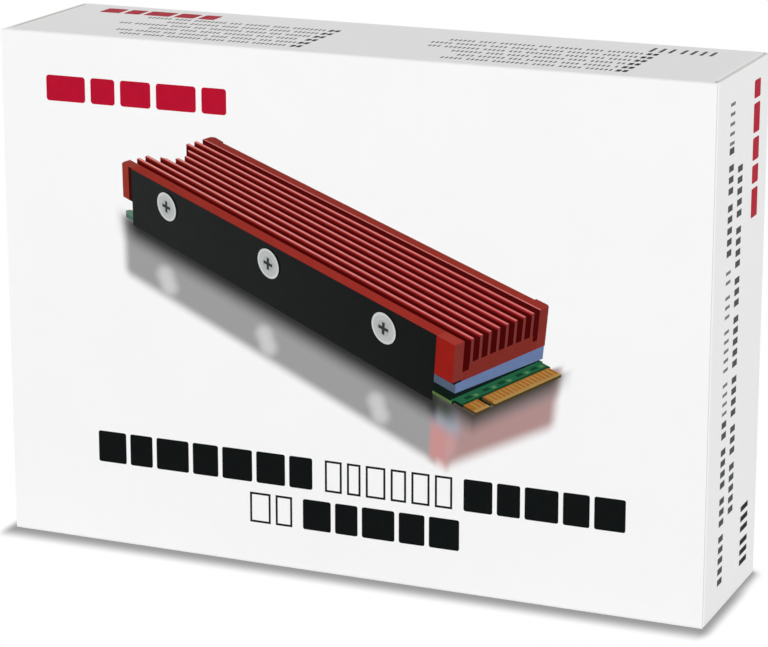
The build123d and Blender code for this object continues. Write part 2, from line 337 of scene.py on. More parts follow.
def sleeve_raw_edge(finish, place, facing):
    """The sleeve's cut edges: ends of the four panels, but not the faces of the dust flaps."""
    endways = finish.sum("GREATER_THAN", finish.sum("ABSOLUTE", facing["X"]), 0.9)
    beside = finish.sum("GREATER_THAN", finish.sum("ABSOLUTE", place["Y"]), HALF_DEPTH - BOARD)
    above = finish.sum("GREATER_THAN", off_middle(finish, place), HEIGHT / 2 - BOARD)
    return finish.sum("MULTIPLY", endways, finish.sum("MAXIMUM", beside, above))


def lid_raw_edge(finish, place, facing):
    """A lid's cut edges: its top and bottom."""
    return finish.sum("GREATER_THAN", finish.sum("ABSOLUTE", facing["Z"]), 0.9)


# Print


class Panel:
    """A printed face: flat places (across, up) in millimetres on it become points in the row's frame."""

    def __init__(self, origin, across, up, body):
        self.origin = Vector(origin)
        self.across = Vector(across)
        self.up = Vector(up)
        self.out = self.across.cross(self.up)
        self.body = body

    def point(self, place, height):
        across, up = place
        return self.origin + self.across * (across * MM) + self.up * (up * MM) + self.out * height


FRONT = Panel((0, -HALF_DEPTH, 0), (1, 0, 0), (0, 0, 1), "carton")
RIGHT = Panel((HALF_LENGTH, 0, 0), (0, 1, 0), (0, 0, 1), "right_lid")
TOP = Panel((0, 0, HEIGHT), (1, 0, 0), (0, 1, 0), "carton")

# How far ink reaches into the board, so that it lies on it with no gap
SUNK = 0.004 * MM
REFLECTION_INK = 0.006 * MM


def finish_piece(name, build, materials, body):
    """Makes a built mesh a piece of its own that rides on a body."""
    mesh = bpy.data.meshes.new(name)
    build.to_mesh(mesh)
    build.free()
    for material in materials:
        mesh.materials.append(material)
    piece = add_object(name, mesh)
    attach(piece, body)


def print_fields(name, panel, outlines, ink, material):
    """One closed thin prism of ink for each outline of (across, up) places, joined in one piece."""
    build = bmesh.new()
    for outline in outlines:
        low = [build.verts.new(panel.point(place, -SUNK)) for place in outline]
        high = [build.verts.new(panel.point(place, ink)) for place in outline]
        build.faces.new(high)
        build.faces.new(low[::-1])
        for i in range(len(outline)):
            j = (i + 1) % len(outline)
            build.faces.new((low[i], low[j], high[j], high[i]))
    bmesh.ops.recalc_face_normals(build, faces=build.faces)
    finish_piece(name, build, [material], panel.body)


def rectangle(across, up):
    """The corners of a rectangle from two (low, high) ranges, anticlockwise."""
    return [(across[0], up[0]), (across[1], up[0]), (across[1], up[1]), (across[0], up[1])]


def block(across, up, corner, steps=4):
    """The outline of a rectangle with round corners."""
    outline = []
    for quarter, (a, u) in enumerate(((1, 0), (1, 1), (0, 1), (0, 0))):
        centre_a = across[a] - corner * (2 * a - 1)
        centre_u = up[u] - corner * (2 * u - 1)
        for step in range(steps + 1):
            turn = pi / 2 * (quarter - 1 + step / steps)
            outline.append((centre_a + corner * cos(turn), centre_u + corner * sin(turn)))
    return outline


# How the widths of the blocks in a row go
HEADING_WIDTHS = (1.0, 0.8, 1.15, 0.9, 1.05)
EMBLEM_WIDTHS = (1.3, 0.8, 1.0)


def shares(start, end, count, gap, pattern=HEADING_WIDTHS):
    """count ranges that fill start to end with equal gaps, their widths following a short pattern."""
    weights = [pattern[i % len(pattern)] for i in range(count)]
    free = end - start - gap * (count - 1)
    ranges = []
    for weight in weights:
        width = free * weight / sum(weights)
        ranges.append((start, start + width))
        start += width + gap
    return ranges


def blocks(across, up, gap, corner, count=5, pattern=HEADING_WIDTHS):
    """Blocks with round corners, side by side over a range across."""
    return [block(span, up, corner) for span in shares(*across, count, gap, pattern)]


def hollow(across, up, stroke):
    """Four bars round an empty middle."""
    inner_up = (up[0] + stroke, up[1] - stroke)
    return [
        rectangle(across, (up[0], up[0] + stroke)),
        rectangle(across, (up[1] - stroke, up[1])),
        rectangle((across[0], across[0] + stroke), inner_up),
        rectangle((across[1] - stroke, across[1]), inner_up),
    ]


def bars(across, up, width, gap, groups=(9,), space=0.0):
    """Equal upright bars over a range across, in groups of so many with a space after each."""
    outlines = []
    start, end = across
    group, left = 0, groups[0]
    while start + width <= end:
        outlines.append(rectangle((start, start + width), up))
        start += width + gap
        left -= 1
        if left == 0:
            start += space
            group = (group + 1) % len(groups)
            left = groups[group]
    return outlines


def turned(outlines):
    """The same outlines with across and up changed over, for a row that runs up the panel."""
    return [[(a, u) for u, a in outline] for outline in outlines]


# Ranges across and up the front panel, and how many blocks fill them, in a bold and a thin heading
HEADING_UPPER, HEADING_LOWER = (13.9, 19.2), (7.1, 12.2)
BOLD_HEADINGS = (
    ((-43.9, -5.3), HEADING_UPPER, 7),
    ((20.7, 47.4), HEADING_UPPER, 5),
    ((-7.0, 20.0), HEADING_LOWER, 5),
)
THIN_HEADINGS = (((-3.1, 18.8), HEADING_UPPER, 6), ((-16.4, -8.9), HEADING_LOWER, 2))
THIN_GAP, THIN_STROKE = 0.9, 0.36
# Ranges up and across the right end, and the groups of the light bars
FIRST_COLUMN, SECOND_COLUMN = (-6.5, -4.1), (-1.75, 0.75)
RIGHT_BOLD_RUNS = (
    ((4.4, 31.3), FIRST_COLUMN),
    ((56.9, 73.8), FIRST_COLUMN),
    ((14.7, 70.9), SECOND_COLUMN),
)
RIGHT_LIGHT_RUNS = (
    ((31.9, 56.0), FIRST_COLUMN, (4, 5, 3)),
    ((74.1, 81.6), FIRST_COLUMN, (5,)),
)
# The two lists on the top: where their rows start, where they all end, and the rows' heights and groups
TOP_LISTS = (
    ((-42.9, -37.9, -45.0, -38.2, -42.5, -40.4), -10.4),
    ((10.6, 8.6, 9.3, 14.4, 16.5, 14.9), 43.1),
)
TOP_LEVELS = (4.85, 1.88, -1.09, -4.05, -7.02, -9.9)
TOP_GROUPS = ((6, 4, 8, 3), (5, 7, 4, 6), (3, 8, 5), (7, 4, 5), (4, 6, 3, 7), (5, 5, 8))

# Where along the carton a fading ink starts and ends
FADE_START, FADE_END = -38 * MM, 32 * MM


def ink_material(name, colour, end_colour=None):
    """Printing ink: a slightly uneven tone under a thin satin varnish. With an end colour it fades to that
    along the carton."""
    finish = Finish(name)
    tone = tuple(colour)
    if end_colour is not None:
        along = finish.span(finish.axes(finish.place)["X"], FADE_START, FADE_END)
        tone = finish.mix(along, tone, tuple(end_colour))
    patch = finish.noise(1.6 * MM, 3, 0.55)
    dots = finish.noise(0.12 * MM, 1)
    tone = finish.scaled(tone, finish.span(patch, 0.3, 0.75, 0.95, 1.06))
    gloss = (patch, 0.2, 0.8, 0.4, 0.52)
    return finish.coat(tone, gloss, (dots, 0.002 * MM, 0.4), Specular_IOR_Level=INK_SPECULAR)


def print_pieces(panel, ink, *pieces):
    """Prints pieces on a panel, each given as its name, outlines, ink name and colour."""
    for name, outlines, ink_name, colour in pieces:
        print_fields(name, panel, outlines, ink, ink_material(ink_name, colour))


# The pictured cooler


class Picture:
    """The printed view of the cooler. The cooler's own millimetres, with its fins up and its connector end
    at +X, become places on the front panel."""

    def __init__(self, settings):
        turn, tilt = settings.azimuth, settings.elevation
        self.view = Vector((-sin(turn) * cos(tilt), cos(turn) * cos(tilt), -sin(tilt)))
        self.right = Vector((cos(turn), sin(turn), 0))
        self.up = self.right.cross(self.view)
        self.settings = settings

    def place(self, own):
        """(across, up, nearness) of a point given in the cooler's own millimetres."""
        use = self.settings
        offset = Vector(own) - COOLER_MIDDLE
        depth = use.distance + offset.dot(self.view)
        across = use.zoom * offset.dot(self.right) / depth
        up = use.zoom * offset.dot(self.up) / depth
        panel_across = use.centre_x + cos(use.roll) * across - sin(use.roll) * up
        panel_up = use.centre_z + sin(use.roll) * across + cos(use.roll) * up
        return panel_across, panel_up, use.distance / depth


# In millimetres of the panel: the width below which a face is edge-on, and the gap that closes up
EDGE_ON = 2e-3
MERGED = 1e-4
INSIDE_TRIANGLES = 1


class Solids:
    """Solids in the cooler's own millimetres, printed as the flat fields that the picture sees of them."""

    def __init__(self, picture, inks):
        self.picture = picture
        self.inks = inks
        self.numbers = {name: i for i, name in enumerate(inks)}
        self.outlines, self.nearness, self.face_inks = [], [], []

    def face(self, points, ink):
        """Keeps one flat face: its outline on the panel, anticlockwise, how near it is as a plane over the
        panel, and its ink. A face seen edge-on is left out."""
        seen = [self.picture.place(point) for point in points]
        count = len(seen)
        first, second, third = seen[0], seen[count // 3], seen[2 * count // 3]
        x1, y1, near1 = (b - a for a, b in zip(first, second))
        x2, y2, near2 = (b - a for a, b in zip(first, third))
        area = x1 * y2 - x2 * y1
        if abs(area) < EDGE_ON * max(hypot(x1, y1), hypot(x2, y2)):
            return
        slope_x = (near1 * y2 - near2 * y1) / area
        slope_y = (x1 * near2 - x2 * near1) / area
        level = first[2] - slope_x * first[0] - slope_y * first[1]
        outline = [(x, y) for x, y, _ in seen]
        self.outlines.append(outline if area > 0 else outline[::-1])
        self.nearness.append((slope_x, slope_y, level))
        self.face_inks.append(self.numbers[ink])

    def hull(self, bottom, top, near, end=None, lid=None):
        """A solid between two matching outlines of own points. near colours its walls, end those that face
        +X, and lid its top."""
        self.face(top, lid or near)
        self.face(bottom, near)
        for i in range(len(bottom)):
            j = (i + 1) % len(bottom)
            along = Vector(bottom[j]) - Vector(bottom[i])
            faces_end = along.y > abs(along.x)
            self.face((bottom[i], bottom[j], top[j], top[i]), end if end and faces_end else near)

    def upright(self, outline, z, *inks):
        """A solid that stands straight on an (x, y) outline between two heights."""
        self.hull([(x, y, z[0]) for x, y in outline], [(x, y, z[1]) for x, y in outline], *inks)

    def box(self, x, y, z, *inks):
        self.upright(rectangle(x, y), z, *inks)

    def disc(self, x, y, z, radius, thickness, side, face, sides=36):
        """A round head that faces -Y."""
        ring = [2 * pi * i / sides for i in range(sides)]
        back = [(x + radius * cos(t), y, z + radius * sin(t)) for t in ring]
        front = [(a, y - thickness, c) for a, _, c in back]
        self.hull(back, front, side, None, face)

    def seen_ink(self, numbers, x, y):
        """The ink of the nearest of some faces at a place on the panel."""

        def near(number):
            slope_x, slope_y, level = self.nearness[number]
            return slope_x * x + slope_y * y + level

        return self.face_inks[max(numbers, key=near)]

    def piece(self, name, ink):
        """Cuts the outlines into triangles that lie side by side, gives each the ink of the face that is
        seen there, and makes them one closed thin layer."""
        corners, rings = [], []
        for outline in self.outlines:
            rings.append(list(range(len(corners), len(corners) + len(outline))))
            corners += [Vector(place) for place in outline]
        cut = delaunay_2d_cdt(corners, [], rings, INSIDE_TRIANGLES, MERGED)
        places, _, triangles, _, _, covers = cut
        build = bmesh.new()
        low = [build.verts.new(FRONT.point(place, -SUNK)) for place in places]
        high = [build.verts.new(FRONT.point(place, ink)) for place in places]
        sides = {side for ring in triangles for side in zip(ring, ring[1:] + ring[:1])}
        for ring, numbers in zip(triangles, covers):
            x, y = (sum(places[i][axis] for i in ring) / len(ring) for axis in (0, 1))
            made = [build.faces.new([high[i] for i in ring])]
            made.append(build.faces.new([low[i] for i in reversed(ring)]))
            for a, b in zip(ring, ring[1:] + ring[:1]):
                if (b, a) not in sides:
                    made.append(build.faces.new((low[a], low[b], high[b], high[a])))
            for face in made:
                face.material_index = self.seen_ink(numbers, x, y)
        finish_piece(name, build, list(self.inks.values()), FRONT.body)


# The pictured cooler's own sizes, in its own millimetres
COOLER_MIDDLE = Vector((0, 0, 6))
BLOCK_LEFT, BLOCK_RIGHT = -37.9, 38.05
SIDE_HALF = 11.8
HIDDEN = 33.0
BLOCK_LOW, BLOCK_HIGH = 4.3, 10.8
WALL_LOW = 4.6
WALL_INSIDE = 9.5
FAR_INSIDE, FAR_RIM, FAR_OUTSIDE, FAR_BULGE = 9.1, 9.45, 11.3, 11.7
FAR_LEFT, FAR_RIGHT = -35, 35.4
PLATE_LEFT, PLATE_RIGHT = -35.3, 34.6
PLATE_FRONT = -11.85
# Heights at the plate's left and right end
PLATE_LOW, PLATE_HIGH = (0.25, 0), (10.66, 10.82)
SHADE_LEFT = PLATE_LEFT - 0.9
FIN_PITCH = 2.13
FIN_NEAR, FIN_FAR = -0.37, 0.27
FIN_HIGH = 10.7
FIN_TOP_LOW = FIN_HIGH - 0.01
SLOT_FLOOR = 6.85
DEEP_SLOT_FLOOR = 5.8
DEEP_SLOT_START = 7.945
NOTCH = 4.0
PAD_LOW, PAD_HIGH = 2.65, 4.2
PAD_SAG = 0.6
DRIVE_LOW, DRIVE_HIGH = 1.45, 1.9
DRIVE_STEP = 38.45
DRIVE_END = 40.1
CONTACT_END = 42.5
SCREW_PITCH = 25.1
SCREW_SHIFT = -0.35
SCREW_HEIGHT = 7.6
# Radius, thickness, side ink and face ink of a screw head's rings, from the plate outwards
SCREW_RINGS = (
    (2.45, 0.5, "screw_shade", "screw_rim"),
    (2.05, 0.02, "screw", "screw"),
    (1.25, 0.02, "screw_dish", "screw_dish"),
)
CROSS_HALF, CROSS_WIDE, CROSS_HIGH = 0.98, 0.25, 0.05
# A fin's stretches, as heights and side ink, and its top's stripes, as shares of its thickness and ink
FIN_LEVELS = (
    (SLOT_FLOOR, 10.24, "slot"),
    (10.24, 10.4, "fin_low"),
    (10.4, 10.56, "fin_side"),
    (10.56, FIN_TOP_LOW, "fin_rise"),
)
FIN_STRIPES = ((0, 0.2, "fin_edge"), (0.2, 0.85, "fin_top"), (0.85, 1, "fin_edge"))


def fin_start(y):
    """Where a fin begins: at the block's end, or further in where the round notch cuts it."""
    return BLOCK_LEFT - 0.2 + (sqrt(NOTCH**2 - y**2) if abs(y) < NOTCH else 0)


def picture_fin(solids, low, high):
    """One fin: a dark lower side, a red upper side and a bright top with a darker rim on each side."""

    def outline(start, end):
        return [(fin_start(start), start), (BLOCK_RIGHT, start), (BLOCK_RIGHT, end), (fin_start(end), end)]

    for bottom, top, ink in FIN_LEVELS:
        solids.upright(outline(low, high), (bottom, top), ink, "fin_end", ink)
    for first, last, ink in FIN_STRIPES:
        start = low + (high - low) * first
        end = low + (high - low) * last
        solids.upright(outline(start, end), (FIN_TOP_LOW, FIN_HIGH), "fin_rise", "fin_end", ink)


def picture_block(solids, fins):
    """The red finned block with its two side walls, seen above the plate."""
    wall = (-SIDE_HALF, -WALL_INSIDE)
    left = [(BLOCK_LEFT, wall[0]), (SHADE_LEFT, wall[0]), (SHADE_LEFT, wall[1]), (-38.2, wall[1])]
    left.append((-38.15, wall[0] + 0.7))
    for outline, *inks in (
        (left, "left_end", None, "ledge_left"),
        (rectangle((SHADE_LEFT, PLATE_LEFT), wall), "left_shade", None, "ledge_left"),
        (rectangle((PLATE_LEFT, PLATE_RIGHT), wall), "ledge_side", None, "ledge"),
        (rectangle((PLATE_RIGHT, BLOCK_RIGHT), wall), "right_end", "end_wall", "ledge_end"),
    ):
        solids.upright(outline, (WALL_LOW, BLOCK_HIGH), *inks)

    far_left = [(BLOCK_LEFT, FAR_RIM), (FAR_LEFT, FAR_RIM), (FAR_LEFT, FAR_BULGE), (-37.3, 11.9)]
    far_left.append((BLOCK_LEFT, FAR_OUTSIDE))
    far_right = [(FAR_RIGHT, FAR_RIM), (BLOCK_RIGHT, FAR_RIM), (BLOCK_RIGHT, FAR_OUTSIDE)]
    far_right += [(37.6, FAR_BULGE), (FAR_RIGHT, FAR_BULGE)]
    for outline, end, lid in (
        (rectangle((BLOCK_LEFT, BLOCK_RIGHT), (FAR_INSIDE, FAR_RIM)), "end_wall", "far_rim"),
        (far_left, None, "far_wall"),
        (rectangle((FAR_LEFT, FAR_RIGHT), (FAR_RIM, FAR_OUTSIDE)), None, "far_wall"),
        (far_right, "end_wall", "far_wall"),
    ):
        solids.upright(outline, (BLOCK_LOW, BLOCK_HIGH), "slot_wall", end, lid)

    for side, floor in (
        ((-DEEP_SLOT_START, DEEP_SLOT_START), SLOT_FLOOR),
        ((-WALL_INSIDE, -DEEP_SLOT_START), DEEP_SLOT_FLOOR),
        ((DEEP_SLOT_START, FAR_INSIDE), DEEP_SLOT_FLOOR),
    ):
        solids.box((BLOCK_LEFT + 0.4, BLOCK_RIGHT), side, (BLOCK_LOW, floor), "slot", "end_base", "slot")
    for i in range(fins):
        place = FIN_PITCH * (i - (fins - 1) / 2)
        picture_fin(solids, place + FIN_NEAR, place + FIN_FAR)


def picture_plate(solids):
    """The black side plate with its three screws."""
    corners = rectangle((PLATE_LEFT, PLATE_RIGHT), (PLATE_FRONT, -SIDE_HALF))
    lower = [(x, y, PLATE_LOW[x > 0]) for x, y in corners]
    upper = [(x, y, PLATE_HIGH[x > 0]) for x, y in corners]
    solids.hull(lower, upper, "plate")
    for i in (-1, 0, 1):
        x = i * SCREW_PITCH + SCREW_SHIFT
        head = PLATE_FRONT
        for radius, thickness, side, face in SCREW_RINGS:
            solids.disc(x, head, SCREW_HEIGHT, radius, thickness, side, face)
            head -= thickness
        for run, rise in ((CROSS_HALF, CROSS_WIDE), (CROSS_WIDE, CROSS_HALF)):
            across, up = (x - run, x + run), (SCREW_HEIGHT - rise, SCREW_HEIGHT + rise)
            solids.box(across, (head - CROSS_HIGH, head), up, "screw_cross")


def picture_drive(solids):
    """The pad and the drive's board that stand out under the block, with their contacts."""
    pad = rectangle((HIDDEN, 38.0), (-10.9, 11.2))
    lower = [(x, y, PAD_LOW if y < 0 else PAD_LOW - PAD_SAG) for x, y in pad]
    solids.hull(lower, [(x, y, PAD_HIGH) for x, y in pad], "pad_side", "pad", "pad")
    solids.box((HIDDEN, 37.95), (-11.2, 11), (PAD_HIGH - 0.05, WALL_LOW + 0.1), "pad_gap")
    stub = [(-38.0, -11.2), (-34, -11.2), (-34, -9), (-37.9, -9), (-38.7, -9.7), (-38.8, -10.5)]
    solids.upright(stub, (0.5, 1.3), "drive_stub_side", None, "drive_stub")

    rise = (DRIVE_LOW, DRIVE_HIGH)
    for x, y, near, lid in (
        ((HIDDEN, 35), (-11.5, 10.6), "drive_dark", "drive_dark"),
        ((PLATE_RIGHT + 0.1, BLOCK_RIGHT), (-12.1, 10.6), "drive_edge", "drive_dark"),
        ((BLOCK_RIGHT, DRIVE_STEP), (-12.1, 10.6), "drive_edge", "drive"),
        ((DRIVE_STEP, DRIVE_END), (-11.4, 10.3), "drive_dark", "drive"),
    ):
        solids.box(x, y, rise, near, "drive_dark", lid)
    on_board = (DRIVE_HIGH, DRIVE_HIGH + 0.02)
    solids.box((DRIVE_END - 0.35, DRIVE_END), (-11.3, 10.2), on_board, "drive_line")
    for y in (-9.6, -5.2, -1.4, 3.1, 6.8):
        solids.box((38.7, 39.3), (y, y + 1.5), on_board, "drive_line")
        solids.box((38.9, 39.5), (y + 2.0, y + 2.9), on_board, "drive_part")
    solids.box((DRIVE_END, 41.7), (-8.2, -6.6), (1.2, DRIVE_LOW), "drive_dark")
    for low, high in ((-11.4, -8.0), (-6.8, 9.9)):
        solids.box((DRIVE_END, CONTACT_END), (low, high), rise, "contact_side", "contact_side", "contact")
        for y in range(round(low) + 1, round(high)):
            stripe = (DRIVE_END + 0.2, CONTACT_END - 0.6)
            solids.box(stripe, (y - 0.18, y + 0.18), on_board, "contact_rim")
        rim = (CONTACT_END - 0.55, CONTACT_END + 0.02)
        solids.box(rim, (low, high), (DRIVE_HIGH, DRIVE_HIGH + 0.03), "contact_rim")


# The tone of each pictured surface, or its tones at the cooler's far and near end
PICTURE_INKS = {
    "plate": ("262828", "101010"),
    "left_end": ("94342B",),
    "left_shade": ("360C08",),
    "right_end": ("931D16",),
    "ledge_side": ("8C2A26", "96241F"),
    "ledge_left": ("8E3A30",),
    "ledge": ("8E2F26", "9B2D26"),
    "ledge_end": ("9E3830",),
    "end_wall": ("7E3029",),
    "end_base": ("7C2C25",),
    "slot": ("490202", "440202"),
    "slot_wall": ("4E0504", "480504"),
    "fin_low": ("4E0D06", "4A0806"),
    "fin_side": ("7A1812", "801014"),
    "fin_rise": ("8C2A26", "942226"),
    "fin_edge": ("B0504C", "AC3A3E"),
    "fin_top": ("D8948E", "D27472"),
    "fin_end": ("763431",),
    "far_wall": ("84322C", "92332A"),
    "far_rim": ("C4716D", "CC7472"),
    "pad": ("64779F",),
    "pad_side": ("505C70",),
    "pad_gap": ("1C1218",),
    "drive": ("205C3F",),
    "drive_dark": ("0B1A15",),
    "drive_line": ("123D22",),
    "drive_part": ("4E7A4C",),
    "drive_edge": ("54703A",),
    "drive_stub": ("5E8170",),
    "drive_stub_side": ("4F6B5E",),
    "contact": ("A06428",),
    "contact_side": ("4A3F20",),
    "contact_rim": ("A8844A",),
    "screw_rim": ("C6C9C8",),
    "screw": ("B4B7B6",),
    "screw_dish": ("A8ABAA",),
    "screw_shade": ("0C1010",),
    "screw_cross": ("333A3B",),
}


def soft_patch(finish, corners, softness):
    """1 inside a four-cornered field on the front panel, given anticlockwise, and 0 beyond its edges, each
    with its own softness."""
    amount = None
    for i, corner in enumerate(corners):
        start = Vector(corner) * MM
        along = (Vector(corners[(i + 1) % len(corners)]) * MM - start).normalized()
        inward = Vector((-along.y, along.x))
        distance = finish.vector("DOT_PRODUCT", finish.place, (inward.x, 0, inward.y))
        inside = finish.sum("SUBTRACT", distance, inward.dot(start))
        edge = finish.span(inside, -softness[i] * MM, softness[i] * MM, smooth=True)
        amount = edge if amount is None else finish.sum("MULTIPLY", amount, edge)
    return amount


def soft_spot(finish, centre, radius, softness):
    """1 inside a round spot on the front panel, fading to 0 across its edge."""
    flat = finish.vector("MULTIPLY", finish.place, (1, 0, 1), "Vector")
    distance = finish.vector("DISTANCE", flat, (centre[0] * MM, 0, centre[1] * MM))
    return finish.span(distance, (radius - softness) * MM, (radius + softness) * MM, 1, 0, smooth=True)


def mirrored_field(picture, x, y, z):
    """Panel corners of a flat field in the cooler's own millimetres, from its first x, y to its second."""
    corners = [(x[0], y[0], z[0]), (x[1], y[1], z[0]), (x[1], y[1], z[1]), (x[0], y[0], z[1])]
    return [picture.place(corner)[:2] for corner in corners]


def reflection_material(picture, board):
    """The soft grey and pink reflection and the contact shadow printed under the cooler."""
    finish = Finish("ink_reflection")
    colour, grain, _ = coating(finish, board)
    side, end = (-SIDE_HALF, -SIDE_HALF), (-SIDE_HALF, 13.0)
    foot, tip = (-11.9, -11.9), (CONTACT_END, CONTACT_END)
    # Own x, y and z ranges, softness in millimetres of the lower, right, upper and left edge, and tone
    fields = (
        ((-37.8, PLATE_RIGHT + 1.5), side, (-9.95, 1), (1.1, 0.5, 0.5, 1.0), "9A9A9A"),
        ((PLATE_RIGHT, BLOCK_RIGHT + 0.4), side, (-9.75, 1), (1.3, 0.6, 0.5, 0.6), "C68F8D"),
        ((BLOCK_RIGHT, BLOCK_RIGHT + 2), end, (-9.4, 1), (1.3, 1.1, 0.5, 0.6), "AC8A88"),
        ((BLOCK_RIGHT, BLOCK_RIGHT + 2), end, (-4.2, 1), (1.2, 1.1, 0.5, 0.6), "A08C8C"),
        ((BLOCK_RIGHT, BLOCK_RIGHT), (-12.3, -9.7), (-8.3, 1), (1.4, 0.9, 1.0, 0.6), "C49696"),
        ((PLATE_RIGHT, BLOCK_RIGHT + 1.8), side, (-3.5, 1), (1.3, 1.1, 0.5, 0.6), "9CA0AC"),
        ((PLATE_RIGHT - 0.6, BLOCK_RIGHT + 0.4), side, (-1.5, 1), (1.5, 1.3, 0.5, 0.6), "4C574E"),
    )
    plate_shadow = ((-37.5, 35.5), side, (-2.3, 1.5), (1.9, 0.6, 1.2, 2.3))
    board_shadows = (
        ((PLATE_RIGHT - 0.6, CONTACT_END), foot, (-0.1, 2), (2.1, 0.6, 0.5, 0.5)),
        (tip, (-11.9, 10.2), (-0.05, 2), (1.9, 2.2, 0.5, 0.6)),
    )
    # Shift along and height of the two soft spots that make each screw's reflection
    screw_spots = ((-0.8, -5.4), (0.2, -7.2))

    def cover(x, y, z, softness):
        return soft_patch(finish, mirrored_field(picture, x, y, z), softness)

    for *field, tone in fields:
        colour = finish.mix(cover(*field), colour, shade(tone))
    for i in (-1, 0, 1):
        for along, height in screw_spots:
            spot = picture.place((i * SCREW_PITCH + SCREW_SHIFT + along, -12.3, height))
            amount = finish.sum("MULTIPLY", soft_spot(finish, spot, 1.4, 1.0), 0.8)
            colour = finish.mix(amount, colour, shade("D0D0D0"))
    colour = finish.mix(cover(*plate_shadow), colour, shade("222222"))
    below_board = finish.sum("ADD", *[cover(*field) for field in board_shadows], clamp=True)
    colour = finish.mix(below_board, colour, shade("26261E"))
    roughness = (grain, 0, 1, board.gloss - 0.02, board.gloss + 0.02)
    return finish.coat(colour, roughness, (grain, *COAT_GRAIN), Specular_IOR_Level=COAT_SPECULAR)


# Operators


class CARTON_OT_board(bpy.types.Operator):
    """Finishes the sleeve and the two lids as coated folding board"""

    bl_idname = "carton.board"
    bl_label = "Finish the board"

    def execute(self, context):
        board = context.scene.carton_board
        dress("carton_sleeve", board_material("sleeve_board", board, sleeve_raw_edge))
        lid = board_material("lid_board", board, lid_raw_edge)
        for name in ("right_tuck_lid", "left_tuck_lid"):
            dress(name, lid)
        return {"FINISHED"}


class CARTON_OT_front_print(bpy.types.Operator):
    """Prints the heading blocks and the red emblem on the front panel"""

    bl_idname = "carton.front_print"
    bl_label = "Print the front headings"

    def execute(self, context):
        use = context.scene.carton_print
        gap, corner = use.block_gap / MM, use.corner / MM
        bold, thin = [], []
        for across, height, count in BOLD_HEADINGS:
            bold += blocks(across, height, gap, corner, count)
        for across, height, count in THIN_HEADINGS:
            for span in shares(*across, count, THIN_GAP):
                thin += hollow(span, height, THIN_STROKE)
        emblem = blocks((-51.9, -19.75), (73.9, 78.1), gap=1.0, corner=0.5, pattern=EMBLEM_WIDTHS)
        print_pieces(
            FRONT,
            use.ink,
            ("front_bold_heading", bold, "ink_black", use.black),
            ("front_thin_heading", thin, "ink_thin_black", use.thin_black),
            ("front_emblem", emblem, "ink_red", use.red),
        )
        return {"FINISHED"}


class CARTON_OT_front_picture(bpy.types.Operator):
    """Prints the picture of the finned cooler, with its reflection, on the front panel"""

    bl_idname = "carton.front_picture"
    bl_label = "Print the picture"

    def execute(self, context):
        use = context.scene.carton_picture
        picture = Picture(use)
        ground = [rectangle((-44, 44), (17, 62))]
        material = reflection_material(picture, context.scene.carton_board)
        print_fields("picture_reflection", FRONT, ground, REFLECTION_INK, material)
        inks = {}
        for name, codes in PICTURE_INKS.items():
            inks[name] = ink_material("ink_" + name, *[shade(code) for code in codes])
        solids = Solids(picture, inks)
        picture_block(solids, use.fins)
        picture_plate(solids)
        picture_drive(solids)
        solids.piece("picture_cooler", use.ink)
        return {"FINISHED"}


class CARTON_OT_right_print(bpy.types.Operator):
    """Prints the two columns of bars, the red emblem and a row of blocks on the right lid"""

    bl_idname = "carton.right_print"
    bl_label = "Print the right end"

    def execute(self, context):
        use = context.scene.carton_print
        bold, light = [], []
        for up, across in RIGHT_BOLD_RUNS:
            bold += turned(bars(up, across, width=1.0, gap=0.75, groups=(5, 3, 4), space=0.9))
        for up, across, groups in RIGHT_LIGHT_RUNS:
            light += turned(bars(up, across, width=0.5, gap=1.0, groups=groups, space=0.9))
        emblem = turned(blocks((60.3, 81.9), (6.0, 9.3), gap=0.8, corner=0.35, pattern=EMBLEM_WIDTHS))
        number = turned(bars((3.75, 14.4), (5.5, 9.4), width=0.9, gap=0.8, groups=(3, 3), space=0.5))
        print_pieces(
            RIGHT,
            use.ink,
            ("right_bold_bars", bold, "ink_grey", use.grey),
            ("right_light_bars", light, "ink_soft_grey", use.soft_grey),
            ("right_emblem", emblem, "ink_right_red", use.red),
            ("right_number", number, "ink_right_black", use.black),
        )
        return {"FINISHED"}


class CARTON_OT_top_print(bpy.types.Operator):
    """Prints the two lists of small bars, the red emblem and a row of blocks on the top panel"""

    bl_idname = "carton.top_print"
    bl_label = "Print the top"

    def execute(self, context):
        use = context.scene.carton_print
        small, bold = [], []
        for starts, end in TOP_LISTS:
            for level, start, groups in zip(TOP_LEVELS, starts, TOP_GROUPS):
                rise, tall = (level - 0.62, level + 0.62), (level - 0.8, level + 0.8)
                small += bars((start, end - 0.5), rise, width=0.34, gap=0.4, groups=groups, space=0.55)
                bold += bars((end, end + 2.4), tall, width=0.75, gap=0.3)
        emblem = blocks((-53.2, -32.1), (6.7, 10.5), gap=0.8, corner=0.3, pattern=EMBLEM_WIDTHS[::-1])
        number = bars((42.6, 53.2), (6.8, 10.3), width=0.55, gap=1.0, groups=(3, 4), space=0.4)
        print_pieces(
            TOP,
            use.ink,
            ("top_small_bars", small, "ink_small_bars", use.grey),
            ("top_bold_bars", bold, "ink_bold_bars", use.black),
            ("top_emblem", emblem, "ink_top_red", use.red),
            ("top_number", number, "ink_top_black", use.grey),
        )
        return {"FINISHED"}


